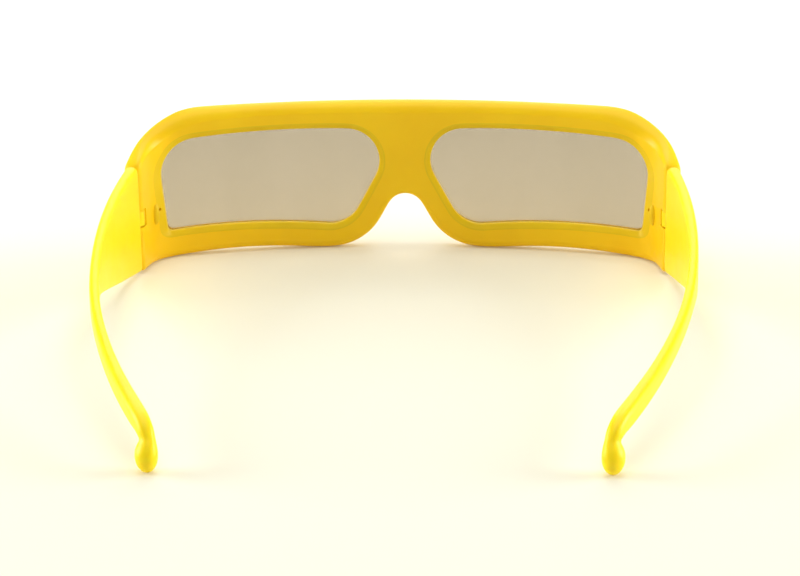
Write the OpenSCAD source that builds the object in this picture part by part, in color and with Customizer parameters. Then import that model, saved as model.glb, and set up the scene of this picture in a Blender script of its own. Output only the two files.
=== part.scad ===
// Wrap-around passive 3-D viewing glasses, open and standing on their lower rim.
// +X is the wearer's right, +Y is forward, +Z is up, and the floor is z = 0.

/* [Overall] */
// Width over the temples at their widest
overall_w = 145; // [138:1:152]
// Depth from the front face to the ends of the temple tips
overall_d = 151; // [144:1:160]
// Height of the front frame
overall_h = 39.5; // [37:0.5:44]

/* [Front wrap] */
// Plan radius of the frame's rear face
front_r = 216; // [190:1:260]
// Wall of the front frame
frame_wall = 4.4; // [4.2:0.1:5.4]
// Plan radius of the rear face at the two wrapped corners
corner_r = 10; // [8:0.5:12]
// Radius with which the top edge turns down towards each hinge
brow_r = 16; // [8:1:24]
// Slope of the top edge over each corner, in degrees
brow_fall = 26; // [15:1:32]
// Where the top edge starts to fall, measured along the wrap from the corner's middle
brow_start = 12.5; // [8:0.5:16]
// Rise of the lower edge between its feet
under_arch = 0.9; // [0.2:0.1:1.6]
// Length of the level foot at each end of that rise
foot_flat = 4; // [3:0.5:8]

/* [Nose notch] */
// Height of the top of the notch
nose_h = 14.8; // [12:0.2:17]
// Radius of the top of the notch
nose_r = 5.2; // [4:0.1:6.5]
// Lean of the sides of the notch, in degrees from upright
nose_flare = 28; // [20:1:34]
// Radius of the two feet beside the nose
foot_r = 15; // [13:0.5:17]

/* [Lens opening] */
// Width of the bridge between the two lens openings
bridge_w = 14.8; // [12:0.2:18]
// Height of the openings' top edge beside the bridge
lens_top = 32.5; // [29:0.5:33.5]
// Upper corner radius beside the bridge
lens_nose_r = 8.7; // [6:0.1:9.5]
// Rim between the opening and the foot beside the nose
cheek_rim = 6.6; // [5.6:0.1:8]
// Distance from the widest half to the opening's outer edge
lens_side_inset = 10.1; // [9.5:0.1:13]
// Upper corner radius at the temple side
lens_temple_r = 9.2; // [5:0.1:11]
// How much lower the top edge is at the temple side
lens_brow_drop = 1.1; // [0:0.1:2]
// Outward bow of the top edge
lens_brow_bow = 0.5; // [0.1:0.1:1]
// Lower corner radius at the temple side
lens_low_r = 1.2; // [0.6:0.1:3]
// Height of the lower corner above the opening's lowest edge
lens_low_rise = 0.8; // [0:0.1:2]
// Inward lean of the outer edge between its two corners
lens_lean = 1.1; // [0:0.1:2]

/* [Lens pack] */
// Plan radius of the lens seat
lens_r = 204; // [190:1:212]
// Front lip that each lens bears against, at the middle of the frame
lip_t = 0.9; // [0.7:0.1:1.2]
// Thickness of the quarter-wave retarder film
retarder_t = 0.2; // [0.1:0.05:0.3]
// Thickness of the polarising film
polariser_t = 0.2; // [0.1:0.05:0.3]
// Thickness of the clear carrier sheet
carrier_t = 0.35; // [0.2:0.05:0.5]
// Gap between the faces of the sheets that lie on each other
sheet_gap = 0.03; // [0.02:0.01:0.05]
// Gap round the edges of the sheets and of the retainer
edge_gap = 0.15; // [0.1:0.05:0.25]
// Width of the retainer ring
retainer_w = 1.4; // [1:0.1:1.8]
// Thickness of the retainer ring
retainer_t = 2; // [1.4:0.1:2.2]
// Height of the middle of the retainer's snap tab
tab_z = 12.5; // [11:0.5:18]
// Height of the snap tab itself
tab_h = 2.4; // [1.6:0.2:4]
// Reach of the snap tab over the rim, outside the retainer
tab_reach = 1.3; // [0.8:0.1:1.5]
// Thickness of the snap tab
tab_t = 0.6; // [0.4:0.1:0.8]

/* [Hinges] */
// Distance of the hinge axes behind the front face
hinge_setback = 23.9; // [22.5:0.1:26]
// Diameter of the hinge pins
pin_d = 1.6; // [1.2:0.1:2]
// Length of the hinge pins
pin_l = 25; // [22:0.5:27]
// Depth of each pin's lower end inside its hole
pin_inset = 0.8; // [0.4:0.1:1.5]
// Radial gap of a pin in the frame's lugs
lug_fit = 0.01; // [0.005:0.005:0.03]
// Radial gap of a pin in the temple's knuckle
knuckle_fit = 0.05; // [0.03:0.01:0.1]
// Diameter of the knuckle and of the lugs' round ends
knuckle_d = 4.2; // [3.6:0.1:4.2]
// Height of the lower lug
lower_lug_h = 9; // [6:0.5:11]
// Height of the knuckle
knuckle_h = 11.4; // [8:0.2:12.4]
// Gap between the moving faces of a hinge
hinge_gap = 0.3; // [0.25:0.05:0.5]
// Distance of a temple's root edge behind its hinge axis
root_setback = 2.7; // [2.6:0.1:3.4]

/* [Temples] */
// Plan radius of the temples' outer face
temple_r = 190; // [170:1:220]
// Wall of the temples
temple_wall = 3; // [2.6:0.1:3.2]
// How far the frame stands proud of the temples' outer face
outer_step = 0.8; // [0.6:0.1:1]
// Distance of the widest place behind the front face
bow_setback = 59.4; // [50:1:70]
// Height of the top edge at the hinge
root_top = 29.6; // [27:0.2:31]
// Height of the lower edge at the hinge
root_low = 0.8; // [0.4:0.2:2]
// Slope of the top edge, in degrees
top_fall = 8.25; // [7:0.25:9]
// Height of the slim rear bar
bar_h = 4.8; // [4:0.2:5.6]
// Distance behind the hinge at which the tapered root meets the bar
taper_l = 63; // [50:1:75]
// Radius of the lower edge where the taper meets the bar
armpit_r = 60; // [20:5:90]
// Radius of the hook at the rear, at the middle of the bar
hook_r = 7; // [6:0.5:8]
// Diameter of the bulb at the tip
bulb_d = 5; // [4.4:0.2:6]
// Height of the bulb at the tip
bulb_h = 7.6; // [6:0.2:9]

/* [Hidden] */

$fn = 180;
// Most that a straight piece of a rounded outline may stand off its arc
arc_tol = 0.012;
// Number of straight pieces along a bowed edge
bow_steps = 8;
// Overrun of cuts past the faces that they leave
over = 1;

// Places in plan
half_w = overall_w / 2;
y_front = overall_d / 2;
y_rear = y_front - frame_wall;
front_c = [0, y_rear - front_r];
side_c = [half_w - temple_r, y_front - bow_setback];
side_r = temple_r + outer_step - frame_wall;
corner_c = circles_meet(front_c, front_r - corner_r, side_c, side_r - corner_r);
corner_front_a = heading(corner_c - front_c);
corner_side_a = heading(corner_c - side_c);
hinge_y = y_front - hinge_setback;
hinge_r = side_r + frame_wall / 2;
hinge_c = on_circle_at_y(side_c, hinge_r, hinge_y);
hinge_a = heading(hinge_c - side_c);

// Places in the lens pack, as radii about the lens centre
lens_c = [0, y_front - lip_t - lens_r];
retarder_r = lens_r - sheet_gap;
polariser_r = retarder_r - retarder_t - sheet_gap;
carrier_r = polariser_r - polariser_t - sheet_gap;
retainer_r = carrier_r - carrier_t - sheet_gap;
lens_outer_x = half_w - lens_side_inset;
lens_low_z = cheek_rim + lens_low_rise + lens_low_r;
lens_high_z = lens_top - lens_brow_drop - lens_temple_r;

// Nose notch and feet
nose_c = [0, nose_h - nose_r];
nose_n = [cos(nose_flare), sin(nose_flare)];
foot_x = (nose_r + foot_r - (foot_r - nose_c.y) * nose_n.y) / nose_n.x;
foot_c = [foot_x, foot_r];

// Hinge heights
slot_low = lower_lug_h;
slot_high = lower_lug_h + knuckle_h;
pin_low = pin_inset;
pin_high = pin_inset + pin_l;

// Temple side profile, as distance behind the hinge and height
tip_r = max(bulb_d, bar_h) / 2;
tip_d = overall_d - hinge_setback - tip_r;
temple_mid_r = temple_r - temple_wall / 2;
tip_c = on_circle_at_y(side_c, temple_mid_r, hinge_y - tip_d);

function heading(v) = atan2(v.y, v.x);
function unit(v) = v / norm(v);
function polar(r, a) = r * [cos(a), sin(a)];
function on_circle_at_y(c, r, y) = [c.x + sqrt(r * r - pow(y - c.y, 2)), y];

// The crossing of two circles that lies further to the right
function circles_meet(c1, r1, c2, r2) =
    let (d = norm(c2 - c1), e = (c2 - c1) / d)
    let (a = (r1 * r1 - r2 * r2 + d * d) / (2 * d))
    let (h = sqrt(r1 * r1 - a * a))
    c1 + a * e + h * (e.y > 0 ? [e.y, -e.x] : [-e.y, e.x]);

// Points on an arc from angle a0 up or down to angle a1
function arc(c, r, a0, a1) =
    let (step = 2 * acos(1 - arc_tol / r))
    let (n = max(1, ceil(abs(a1 - a0) / step)))
    [for (k = [0:n]) c + polar(r, a0 + (a1 - a0) * k / n)];

function arc_rest(c, r, a0, a1) =
    let (points = arc(c, r, a0, a1))
    [for (k = [1:len(points) - 1]) points[k]];
function reversed(points) = [for (k = [len(points) - 1:-1:0]) points[k]];

// Points between p and q on an edge that bows out to its right by rise
function bowed(p, q, rise) =
    let (out = unit([q.y - p.y, p.x - q.x]))
    [for (k = [1:bow_steps - 1])
        let (t = k / bow_steps) p + (q - p) * t + out * rise * 4 * t * (1 - t)];

// Outward normal of the straight edge that touches two corner circles [x, y, r]
function edge_normal(a, b) =
    let (d = [b[0] - a[0], b[1] - a[1]])
    heading(d) - acos((a[2] - b[2]) / norm(d));
function angle_after(a, low) = a < low ? angle_after(a + 360, low) : a;

// Outline drawn round corner circles, with a bow for the edge that leaves each
function belt(corners, bows) =
    let (n = len(corners))
    [for (i = [0:n - 1])
        let (now = corners[i], next = corners[(i + 1) % n], last = corners[(i + n - 1) % n])
        let (a0 = edge_normal(last, now), a1 = angle_after(edge_normal(now, next), a0))
        let (here = [now[0], now[1]], there = [next[0], next[1]])
        each concat(
            arc(here, now[2], a0, a1),
            bowed(here + polar(now[2], a1), there + polar(next[2], a1), bows[i])
        )];

// Right lens opening in front view, grown by g on all sides
function lens_outline(g) = belt(
    [
        [foot_x, foot_r, foot_r - cheek_rim + g],
        [lens_outer_x - lens_lean - lens_low_r, lens_low_z, lens_low_r + g],
        [lens_outer_x - lens_temple_r, lens_high_z, lens_temple_r + g],
        [bridge_w / 2 + lens_nose_r, lens_top - lens_nose_r, lens_nose_r + g],
    ],
    [-under_arch, 0, lens_brow_bow, 0]
);

module mirrored_pair() {
    children();
    mirror([1, 0, 0]) children();
}

// Stretch of wall about a plan centre, from radius r outwards
module wall_sector(c, r, wall, h, a0, a1) {
    translate(c)
        rotate(a0)
            rotate_extrude(angle = a1 - a0)
                translate([r, 0])
                    square([wall, h]);
}

// Front-view outline carried through the front from its face to depth
module through_front(points, depth) {
    translate([0, y_front + over, 0])
        rotate([90, 0, 0])
            linear_extrude(depth + over)
                polygon(points);
}

// Plan of the wrap's right half, off outside its rear face, from the middle to the hinge axis
function wrap_half(off) = concat(
    arc(front_c, front_r + off, 90, corner_front_a),
    arc_rest(corner_c, corner_r + off, corner_front_a, corner_side_a),
    arc_rest(side_c, side_r + off, corner_side_a, hinge_a)
);

// The wrapped wall from one hinge axis to the other
module wrap_wall() {
    right = concat(wrap_half(0), reversed(wrap_half(frame_wall)));
    linear_extrude(overall_h) mirrored_pair() polygon(right);
}

// Space between the nose's two sides, below the bridge
module nose_notch() {
    side = arc(nose_c, nose_r, nose_flare, 90);
    foot = arc(foot_c, foot_r, 270, 180 + nose_flare);
    right = concat([[foot_x, -over]], foot, side);
    left = [for (p = reversed(right)) [-p.x, p.y]];
    through_front(concat(right, left), hinge_setback);
}

// Shallow hollow under the right half of the lower rim
module rim_arch() {
    from = [foot_x + foot_flat, 0];
    to = [lens_outer_x - foot_flat, 0];
    top = bowed(to, from, under_arch);
    through_front(concat([[from.x, -over], [to.x, -over], to], top, [from]), hinge_setback);
}

// Space above the falling top edge at the right corner
module brow_cut() {
    mid_a = (corner_front_a + corner_side_a) / 2;
    turn_c = [-brow_start, overall_h - brow_r];
    edge = arc(turn_c, brow_r, 90, 90 - brow_fall);
    last = edge[len(edge) - 1];
    run = hinge_setback + brow_start;
    end = last + run * [cos(brow_fall), -sin(brow_fall)];
    above = [[end.x, overall_h + over], [-brow_start, overall_h + over]];
    reach = half_w;
    translate(corner_c)
        rotate(mid_a - 90)
            translate([0, reach, 0])
                rotate([90, 0, 0])
                    linear_extrude(2 * reach)
                        polygon(concat(edge, [end], above));
}

// Places its children at the right hinge, with +X outwards and +Y forwards
module at_hinge() {
    translate(hinge_c) rotate(hinge_a) children();
}

// Right half of what is cut out of the frame for one lens
module lens_cuts() {
    through_front(lens_outline(0), hinge_setback);
    intersection() {
        through_front(lens_outline(retainer_w), hinge_setback);
        translate([lens_c.x, lens_c.y, -over]) cylinder(r = lens_r, h = overall_h + 2 * over);
    }
}

// Slot for the temple's knuckle, and the hole for its pin
module hinge_cuts() {
    side = 2 * frame_wall;
    at_hinge() {
        translate([-side / 2, -side, slot_low])
            cube([side, side + knuckle_d / 2 + hinge_gap, knuckle_h]);
        translate([0, 0, -over]) cylinder(d = pin_d + 2 * lug_fit, h = pin_high + over + hinge_gap);
    }
}

module front_frame() {
    color("gold")
        difference() {
            union() {
                wrap_wall();
                mirrored_pair() at_hinge() cylinder(d = knuckle_d, h = overall_h);
            }
            nose_notch();
            mirrored_pair() {
                rim_arch();
                brow_cut();
                lens_cuts();
                hinge_cuts();
            }
        }
}

// One sheet or ring of the right lens pack, between two radii, in the given outline
module lens_layer(r, t) {
    intersection() {
        translate(lens_c)
            linear_extrude(overall_h)
                difference() {
                    circle(r);
                    circle(r - t);
                }
        children();
    }
}

module lens_sheet(r, t) {
    lens_layer(r, t) through_front(lens_outline(retainer_w - edge_gap), hinge_setback);
}

// Snap tab that reaches from the right retainer on to the rim's corner
module snap_tab() {
    tab_low = tab_z - tab_h / 2;
    lean_here = lens_lean * (lens_high_z - tab_low) / (lens_high_z - lens_low_z);
    root_x = lens_outer_x - lean_here + retainer_w - edge_gap;
    stalk_w = retainer_w / 2;
    face_r = corner_r - sheet_gap;
    root_a = acos((root_x - stalk_w - corner_c.x) / face_r);
    end_a = root_a - (stalk_w + tab_reach) / face_r * 180 / PI;
    stalk_y = corner_c.y + sqrt(pow(face_r - tab_t / 2, 2) - pow(root_x - corner_c.x, 2));
    ring_y = lens_c.y + sqrt(pow(retainer_r - retainer_t / 2, 2) - pow(root_x, 2));
    translate([0, 0, tab_low]) {
        wall_sector(corner_c, face_r - tab_t, tab_t, tab_h, end_a, root_a);
        translate([root_x - stalk_w, stalk_y, 0]) cube([stalk_w, ring_y - stalk_y, tab_h]);
    }
}

module lens_retainer() {
    lens_layer(retainer_r, retainer_t)
        difference() {
            through_front(lens_outline(retainer_w - edge_gap), hinge_setback);
            through_front(lens_outline(0), hinge_setback + over);
        }
    snap_tab();
}

module hinge_pin() {
    at_hinge() translate([0, 0, pin_low]) cylinder(d = pin_d, h = pin_l);
}

// Side profile of a temple: distance behind the hinge, and height
module temple_profile() {
    fall = tan(top_fall);
    half_bar = bar_h / 2;
    bar_drop = bar_h / cos(top_fall);
    hook_c = [tip_d - hook_r, 0];
    start = hook_c.x + hook_r * sin(top_fall);
    mid_z = root_top - start * fall - bar_drop / 2;
    hook = [hook_c.x, mid_z - hook_r * cos(top_fall)];
    pit = [taper_l, root_top - taper_l * fall - bar_drop];
    taper_a = heading(pit - [0, root_low]);
    turn = taper_a + top_fall;
    reach = armpit_r * tan(turn / 2);
    pit_c = pit + reach * polar(1, taper_a + 180) + armpit_r * polar(1, taper_a - 90);
    outer = arc(hook, hook_r + half_bar, 90 - top_fall, 0);
    inner = arc(hook, hook_r - half_bar, 0, 90 - top_fall);
    under = arc(pit_c, armpit_r, 90 - top_fall, 90 + taper_a);
    front = [[0, root_low], [-root_setback, root_low], [-root_setback, root_top], [0, root_top]];
    polygon(concat(front, outer, inner, under));
}

// Space that the right temple's root leaves for a lug, from height z up to z + h
module root_cut(z, h) {
    side = 2 * frame_wall;
    at_hinge()
        translate([-side / 2, -root_setback, z])
            cube([side, root_setback + over, h]);
}

// Right temple: bowed wall cut to its side profile, knuckle and bulb
module temple() {
    tip_a = heading(tip_c - side_c) - asin(tip_r / temple_mid_r);
    knuckle_low = slot_low + hinge_gap;
    knuckle_high = slot_high - hinge_gap;
    difference() {
        union() {
            difference() {
                intersection() {
                    wall_sector(side_c, temple_r - temple_wall, temple_wall, overall_h, tip_a, hinge_a);
                    translate([0, hinge_y, 0])
                        rotate([90, 0, -90])
                            mirror([0, 0, 1])
                                linear_extrude(overall_w)
                                    temple_profile();
                }
                root_cut(-over, knuckle_low + over);
                root_cut(knuckle_high, overall_h);
            }
            at_hinge()
                translate([0, 0, knuckle_low])
                    cylinder(d = knuckle_d, h = knuckle_high - knuckle_low);
        }
        at_hinge() cylinder(d = pin_d + 2 * knuckle_fit, h = overall_h);
    }
    translate([tip_c.x, tip_c.y, bulb_h / 2]) bulb();
}

// Rounded bulb at the end of a temple
module bulb() {
    round = arc([0, 0], bulb_d / 2, -90, 90);
    rotate_extrude() polygon([for (p = round) [p.x, p.y * bulb_h / bulb_d]]);
}

module right_retarder_film() {
    color([0.90, 0.90, 0.86, 0.5]) lens_sheet(retarder_r, retarder_t);
}

module left_retarder_film() {
    mirror([1, 0, 0]) right_retarder_film();
}

module right_polariser_film() {
    color([0.66, 0.61, 0.52, 0.6]) lens_sheet(polariser_r, polariser_t);
}

module left_polariser_film() {
    mirror([1, 0, 0]) right_polariser_film();
}

module right_carrier_sheet() {
    color([0.77, 0.71, 0.59, 0.5]) lens_sheet(carrier_r, carrier_t);
}

module left_carrier_sheet() {
    mirror([1, 0, 0]) right_carrier_sheet();
}

module right_lens_retainer() {
    color("goldenrod") lens_retainer();
}

module left_lens_retainer() {
    mirror([1, 0, 0]) right_lens_retainer();
}

module right_hinge_pin() {
    color("silver") hinge_pin();
}

module left_hinge_pin() {
    mirror([1, 0, 0]) right_hinge_pin();
}

module right_temple() {
    color("yellow") temple();
}

module left_temple() {
    mirror([1, 0, 0]) right_temple();
}

front_frame();
left_retarder_film();
right_retarder_film();
left_polariser_film();
right_polariser_film();
left_carrier_sheet();
right_carrier_sheet();
left_lens_retainer();
right_lens_retainer();
left_hinge_pin();
right_hinge_pin();
left_temple();
right_temple();
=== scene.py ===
"""Looks of a pair of wrap-around 3-D viewing glasses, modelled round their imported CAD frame."""

import logging
import math
from dataclasses import dataclass, field
from enum import Enum
from functools import partial
from typing import Callable, Sequence

import bmesh
import bpy
from mathutils import Matrix, Vector


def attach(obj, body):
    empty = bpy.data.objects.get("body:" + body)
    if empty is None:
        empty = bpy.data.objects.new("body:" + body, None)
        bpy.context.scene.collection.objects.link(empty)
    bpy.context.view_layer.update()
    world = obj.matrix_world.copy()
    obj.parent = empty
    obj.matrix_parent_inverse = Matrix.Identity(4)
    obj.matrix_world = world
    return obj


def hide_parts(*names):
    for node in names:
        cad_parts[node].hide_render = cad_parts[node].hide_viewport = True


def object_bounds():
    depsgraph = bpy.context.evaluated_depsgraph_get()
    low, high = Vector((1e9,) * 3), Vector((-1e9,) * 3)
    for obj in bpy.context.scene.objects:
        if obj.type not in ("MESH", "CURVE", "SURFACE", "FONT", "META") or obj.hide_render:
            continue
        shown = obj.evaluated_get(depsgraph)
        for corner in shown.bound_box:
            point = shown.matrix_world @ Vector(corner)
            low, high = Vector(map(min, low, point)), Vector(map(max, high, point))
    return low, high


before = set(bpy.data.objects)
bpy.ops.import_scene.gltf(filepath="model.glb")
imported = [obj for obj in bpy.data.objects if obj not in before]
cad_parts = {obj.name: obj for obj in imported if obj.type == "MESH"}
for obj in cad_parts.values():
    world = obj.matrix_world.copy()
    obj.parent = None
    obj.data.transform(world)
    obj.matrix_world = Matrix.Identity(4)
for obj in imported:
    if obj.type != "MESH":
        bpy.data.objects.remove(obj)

LOG = logging.getLogger("glasses")
MM = 0.001
CAD_LOW, CAD_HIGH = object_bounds()
IMAGE_SIZE = (800, 576)
MERGE_DISTANCE = 0.0005 * MM
# How far a tool reaches past the faces that it cuts or joins
OVERRUN = 1 * MM
# Share of a rounding's radius by which the rounding's middle lies inside both faces
CORNER_CUT = 1 - math.sqrt(0.5)
# Scale that gives share * (1 - share) ** 2 a peak of 1
SAG_SCALE = 6.75

Colour = tuple[float, float, float]
Place = tuple[float, float, float]
Pair = tuple[float, float]
Loop = list[Vector]
Surface = Callable[[float], float]
Piece = bpy.types.Object
Material = bpy.types.Material
Tree = bpy.types.NodeTree
Node = bpy.types.Node
Socket = bpy.types.NodeSocket


class Side(Enum):
    """Half of the glasses that a piece is on, as the wearer sees it."""

    LEFT = "left"
    RIGHT = "right"

    @property
    def sign(self) -> int:
        """Sign of X on this side."""
        return 1 if self is Side.RIGHT else -1


class RimPart(Enum):
    """Stretch of the front frame's edge that a station lies on."""

    BROW = "brow"
    EDGE = "edge"
    MIDDLE = "middle"


# Plane geometry


def polar(radius: float, angle: float) -> Vector:
    """Plane vector of a length and a heading in radians."""
    return Vector((radius * math.cos(angle), radius * math.sin(angle)))


def heading(vector: Vector) -> float:
    """Heading of a plane vector in radians."""
    return math.atan2(vector.y, vector.x)


def raised(plan: Vector, z: float) -> Vector:
    """Point at a height over a plan point."""
    return Vector((plan.x, plan.y, z))


def between(low: float, high: float, share: float) -> float:
    """Value at a share of the way from low to high."""
    return low + (high - low) * share


def blended(first: Pair, second: Pair, share: float) -> list[float]:
    """Pair of values at a share of the way between two pairs."""
    return [between(a, b, share) for a, b in zip(first, second)]


def hump(height: float, share: float) -> float:
    """Height of a parabolic arch at a share of its length."""
    return height * 4 * share * (1 - share)


def shares(count: int) -> list[float]:
    """Even shares of a stretch, from 0 up to but without 1."""
    return [step / count for step in range(count)]


def closed_shares(count: int) -> list[float]:
    """Even shares of a stretch, from 0 up to 1."""
    return [step / (count - 1) for step in range(count)]


def arc(centre: Vector, radius: float, start: float, end: float, count: int) -> Loop:
    """Points on an arc, with both its ends, in count steps between two headings in radians."""
    return [centre + polar(radius, between(start, end, share)) for share in closed_shares(count + 1)]


def circle_crossing(first: Vector, first_radius: float, second: Vector, second_radius: float) -> Vector:
    """Crossing of two circles that lies further to the right.

    Args:
        first: Centre of the first circle.
        first_radius: Radius of the first circle.
        second: Centre of the second circle.
        second_radius: Radius of the second circle.

    Returns:
        The crossing as a plane point.
    """
    apart = (second - first).length
    along = (second - first) / apart
    reach = (first_radius**2 - second_radius**2 + apart**2) / (2 * apart)
    rise = math.sqrt(first_radius**2 - reach**2)
    across = Vector((along.y, -along.x))
    return first + along * reach + across * (rise if across.x > 0 else -rise)


def resampled(points: Sequence[Vector], count: int) -> Loop:
    """Points at even distances along a path, without its end.

    Args:
        points: Corners of the path.
        count: Number of points wanted.

    Returns:
        count points, the first of which is the path's start.
    """
    lengths = [(b - a).length for a, b in zip(points, points[1:])]
    found = []
    for share in shares(count):
        left = share * sum(lengths)
        leg = 0
        while left > lengths[leg]:
            left -= lengths[leg]
            leg += 1
        found.append(points[leg].lerp(points[leg + 1], left / lengths[leg]))
    return found


def on_surface(points: Sequence[Vector], surface: Surface, shift: float = 0) -> Loop:
    """Front-view points put on a surface that gives Y at an X, shifted along Y."""
    return [Vector((point.x, surface(point.x) + shift, point.y)) for point in points]


# Modelling tools


def clear_selection() -> None:
    """Leaves edit mode and deselects every object."""
    if bpy.context.object and bpy.context.object.mode != "OBJECT":
        bpy.ops.object.mode_set(mode="OBJECT")
    bpy.ops.object.select_all(action="DESELECT")


def select_only(piece: Piece) -> None:
    """Makes one object the only selected and the active one.

    Args:
        piece: Object to select.
    """
    clear_selection()
    piece.select_set(True)
    bpy.context.view_layer.objects.active = piece


def primitive(add: Callable[..., set[str]], **settings: object) -> Piece:
    """Adds a mesh primitive and applies its place, turn and scale.

    Args:
        add: Operator that adds the primitive.
        **settings: Arguments of the operator.

    Returns:
        The new object, with its place in its mesh.
    """
    clear_selection()
    add(**settings)
    bpy.ops.object.transform_apply(location=True, rotation=True, scale=True)
    return bpy.context.active_object


def apply_modifier(piece: Piece, kind: str, **settings: object) -> None:
    """Adds a modifier with the given settings and applies it.

    Args:
        piece: Object to change.
        kind: Blender's name of the modifier's type.
        **settings: Values of the modifier's own properties.
    """
    select_only(piece)
    bpy.ops.object.modifier_add(type=kind)
    modifier = piece.modifiers[-1]
    for name, value in settings.items():
        setattr(modifier, name, value)
    bpy.ops.object.modifier_apply(modifier=modifier.name)


def subdivide(piece: Piece, levels: int) -> None:
    """Rounds a piece by subdivision."""
    apply_modifier(piece, "SUBSURF", levels=levels, render_levels=levels)


def combine(piece: Piece, tool: Piece, operation: str) -> None:
    """Cuts a closed tool out of a piece (DIFFERENCE) or fuses it on (UNION), and removes the tool."""
    apply_modifier(piece, "BOOLEAN", object=tool, operation=operation, solver="EXACT")
    bpy.data.objects.remove(tool)


def weld(piece: Piece) -> None:
    """Joins vertices that lie on each other and points the faces outwards.

    Args:
        piece: Object to change.
    """
    select_only(piece)
    bpy.ops.object.mode_set(mode="EDIT")
    bpy.ops.mesh.select_all(action="SELECT")
    bpy.ops.mesh.remove_doubles(threshold=MERGE_DISTANCE)
    bpy.ops.mesh.normals_make_consistent(inside=False)
    bpy.ops.object.mode_set(mode="OBJECT")


def smooth(piece: Piece, angle: float = 40) -> None:
    """Shades a piece smooth, apart from edges sharper than an angle in degrees."""
    select_only(piece)
    bpy.ops.object.shade_smooth_by_angle(angle=math.radians(angle))


def round_edges(piece: Piece, radius: float, segments: int, level_only: bool) -> None:
    """Bevels edges of a piece.

    Args:
        piece: Object to change.
        radius: Radius of the rounding.
        segments: Number of faces across the rounding.
        level_only: Whether only level edges are rounded.
    """
    select_only(piece)
    bpy.ops.object.mode_set(mode="EDIT")
    bpy.ops.mesh.select_mode(type="EDGE")
    bpy.ops.mesh.select_all(action="DESELECT")
    mesh = bmesh.from_edit_mesh(piece.data)
    for edge in mesh.edges:
        rise = abs(edge.verts[0].co.z - edge.verts[1].co.z)
        edge.select_set(not level_only or rise < MERGE_DISTANCE)
    bpy.ops.mesh.bevel(offset=radius, segments=segments, affect="EDGES")
    bpy.ops.mesh.select_mode(type="VERT")
    bpy.ops.object.mode_set(mode="OBJECT")


def turned_block(size: Vector, centre: Vector, turn: float, rounding: float = 0) -> Piece:
    """Block with rounded edges, turned about the vertical.

    Args:
        size: Length of its three sides.
        centre: Place of its middle.
        turn: Turn about +Z in radians.
        rounding: Radius of its edges, or 0 for sharp ones.

    Returns:
        The block, with its place in its mesh.
    """
    add = bpy.ops.mesh.primitive_cube_add
    block = primitive(add, size=1, location=centre, rotation=(0, 0, turn), scale=size)
    if rounding:
        round_edges(block, rounding, segments=4, level_only=False)
    return block


def upright_rod(radius: float, low: float, high: float, centre: Vector, rounding: float = 0) -> Piece:
    """Upright cylinder, with its two end edges rounded.

    Args:
        radius: Radius of the cylinder.
        low: Height of its lower end.
        high: Height of its upper end.
        centre: Plan place of its axis.
        rounding: Radius of the end edges, or 0 for sharp ones.

    Returns:
        The cylinder, with its place in its mesh.
    """
    add = bpy.ops.mesh.primitive_cylinder_add
    middle = (centre.x, centre.y, (low + high) / 2)
    rod = primitive(add, vertices=64, radius=radius, depth=high - low, location=middle)
    if rounding:
        round_edges(rod, rounding, segments=3, level_only=True)
    return rod


def egg(size: Vector, centre: Vector, turn: float) -> Piece:
    """Egg-shaped solid with three half axes, turned about the vertical by radians."""
    turned = {"location": centre, "rotation": (0, 0, turn), "scale": size}
    return primitive(bpy.ops.mesh.primitive_uv_sphere_add, segments=32, ring_count=16, radius=1, **turned)


def mirrored_copy(piece: Piece) -> Piece:
    """Copy of a right piece on the left side of the glasses, with its own mesh.

    Args:
        piece: Finished piece of the right side.

    Returns:
        The copy, with its place in its mesh and its faces pointing outwards.
    """
    select_only(piece)
    bpy.ops.object.duplicate(linked=False)
    copy = bpy.context.active_object
    copy.name = piece.name.replace(Side.RIGHT.value, Side.LEFT.value)
    copy.data.name = copy.name
    bpy.ops.transform.resize(value=(-1, 1, 1), center_override=(0, 0, 0))
    bpy.ops.object.transform_apply(location=True, rotation=True, scale=True)
    weld(copy)
    return copy


class LoopModel:
    """Mesh that is drawn out of one circle, loop by loop, in edit mode."""

    def __init__(self, name: str, loops: Sequence[Loop]) -> None:
        """Puts a circle primitive on the first loop and extrudes it to the others.

        Args:
            name: Name of the piece.
            loops: Places of each loop's vertices, all in one order.
        """
        count = len(loops[0])
        self.piece = primitive(bpy.ops.mesh.primitive_circle_add, vertices=count)
        self.piece.name = name
        self.piece.data.name = name
        bpy.ops.object.mode_set(mode="EDIT")
        bpy.ops.mesh.select_all(action="SELECT")
        self.last = list(range(count))
        self.place(loops[0])
        for loop in loops[1:]:
            self.extrude()
            self.place(loop)

    def place(self, points: Loop) -> None:
        """Moves the last loop's vertices.

        Args:
            points: Their places.
        """
        mesh = bmesh.from_edit_mesh(self.piece.data)
        mesh.verts.ensure_lookup_table()
        for index, point in zip(self.last, points):
            mesh.verts[index].co = point
        bmesh.update_edit_mesh(self.piece.data)

    def extrude(self) -> None:
        """Extrudes the last loop and finds the new one's vertices in the same order."""
        order = {index: step for step, index in enumerate(self.last)}
        bpy.ops.mesh.extrude_edges_move()
        mesh = bmesh.from_edit_mesh(self.piece.data)
        mesh.verts.index_update()
        for vert in mesh.verts:
            if vert.select:
                for edge in vert.link_edges:
                    step = order.get(edge.other_vert(vert).index)
                    if step is not None:
                        self.last[step] = vert.index

    def delete_flat(self, flat: Callable[[Vector], bool]) -> None:
        """Deletes the faces that lie wholly where a test holds.

        Args:
            flat: Test of one vertex's place.
        """
        mesh = bmesh.from_edit_mesh(self.piece.data)
        bpy.ops.mesh.select_all(action="DESELECT")
        bpy.ops.mesh.select_mode(type="FACE")
        for face in mesh.faces:
            face.select = all(flat(vert.co) for vert in face.verts)
        bpy.ops.mesh.delete(type="FACE")
        bpy.ops.mesh.select_mode(type="VERT")

    def finish(self) -> Piece:
        """Joins loops that lie on each other, and gives the piece, out of edit mode."""
        weld(self.piece)
        return self.piece


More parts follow.
